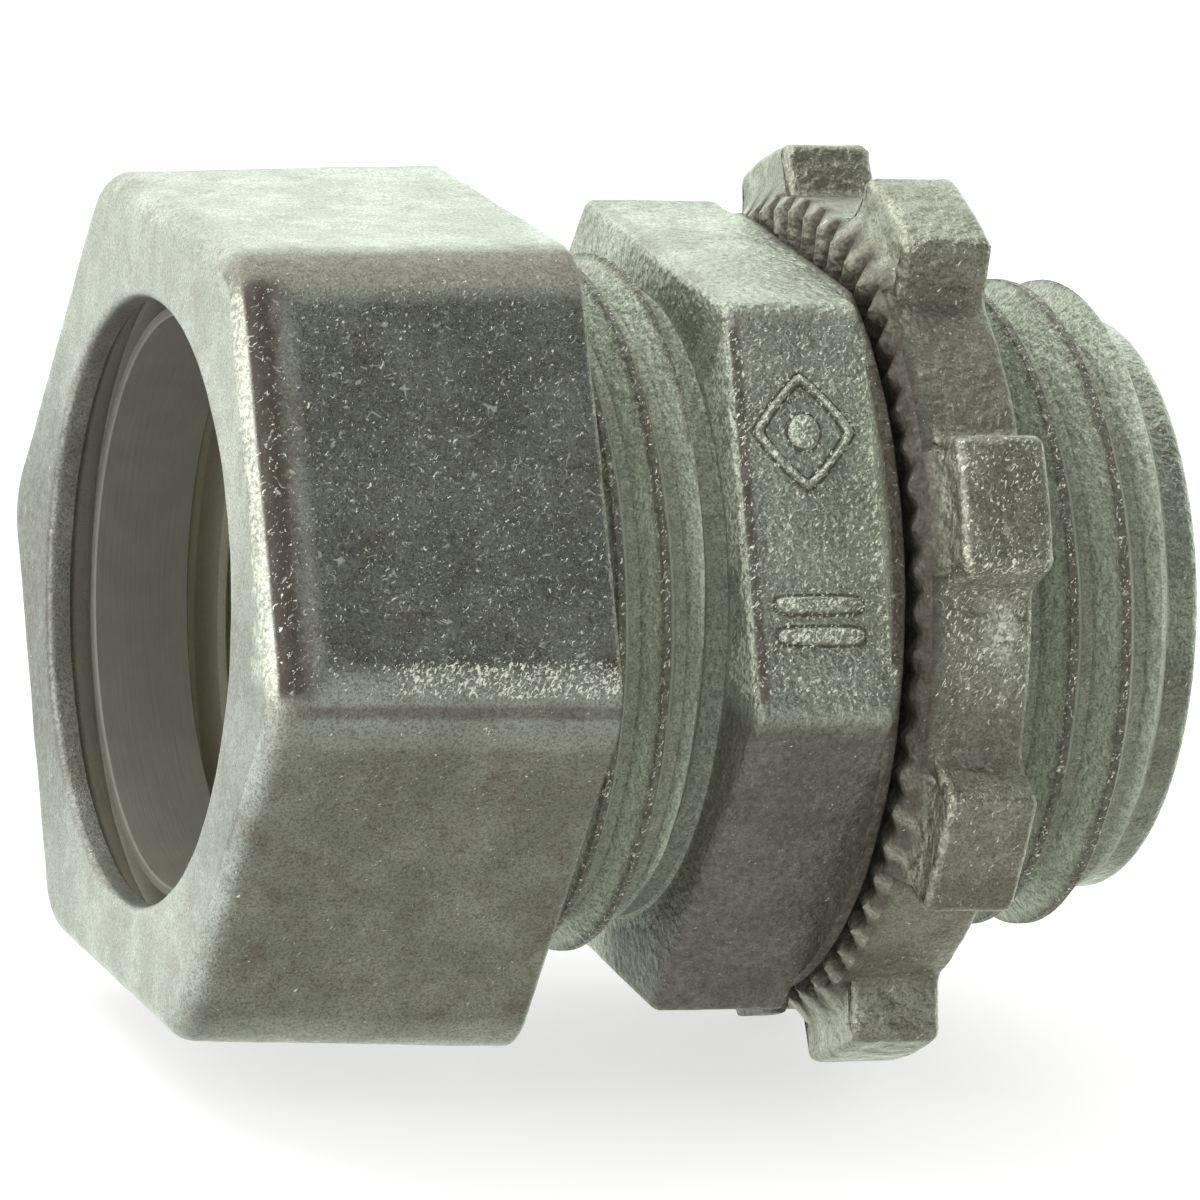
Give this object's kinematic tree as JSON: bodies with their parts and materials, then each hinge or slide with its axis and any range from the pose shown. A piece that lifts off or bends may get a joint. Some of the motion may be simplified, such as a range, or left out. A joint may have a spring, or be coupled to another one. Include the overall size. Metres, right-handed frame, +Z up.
{
  "type": "conduit compression connector",
  "caption": "Die-cast conduit compression connector: a hex nut over a split gland ring, a hex body with a threaded nose, and a toothed, lugged locknut.",
  "frame": {"origin": "on the axis, in the plane of the shoulder that seats on the box wall", "axes": "+X along the axis from the conduit end to the box end, +Z up, normal to a pair of body flats"},
  "size_m": [0.0326, 0.0296, 0.0296],
  "materials": {
    "cast_zinc_body": "as-cast zinc alloy, satin, slightly grainy",
    "cast_zinc_nut": "tumbled zinc alloy casting with bright edges and fine scratches",
    "steel_ring": "plain zinc-plated steel, dull",
    "cast_zinc_locknut": "rough as-cast zinc alloy, darker and browner"
  },
  "bodies": {
    "body": {"connector_body": "cast_zinc_body"},
    "ring": {"gland_ring": "steel_ring"},
    "nut": {"compression_nut": "cast_zinc_nut"},
    "locknut": {"locknut": "cast_zinc_locknut"}
  },
  "joints": [
    {"name": "gland_travel", "type": "slide", "parent": "body", "child": "ring", "axis": [1, 0, 0], "range_m": [-0.00228, 0.00228]},
    {"name": "nut_turn", "type": "hinge", "parent": "ring", "child": "nut", "pos_m": [-0.0155, 0, 0], "axis": [1, 0, 0], "range_deg": [-540, 540]},
    {"name": "locknut_travel", "type": "slide", "parent": "body", "child": "locknut", "axis": [1, 0, 0], "range_m": [-0.0002, 0.007]}
  ],
  "couplings": [
    {"joint": "nut_turn", "follows": "gland_travel", "rad_per_m": 4133.7}
  ]
}
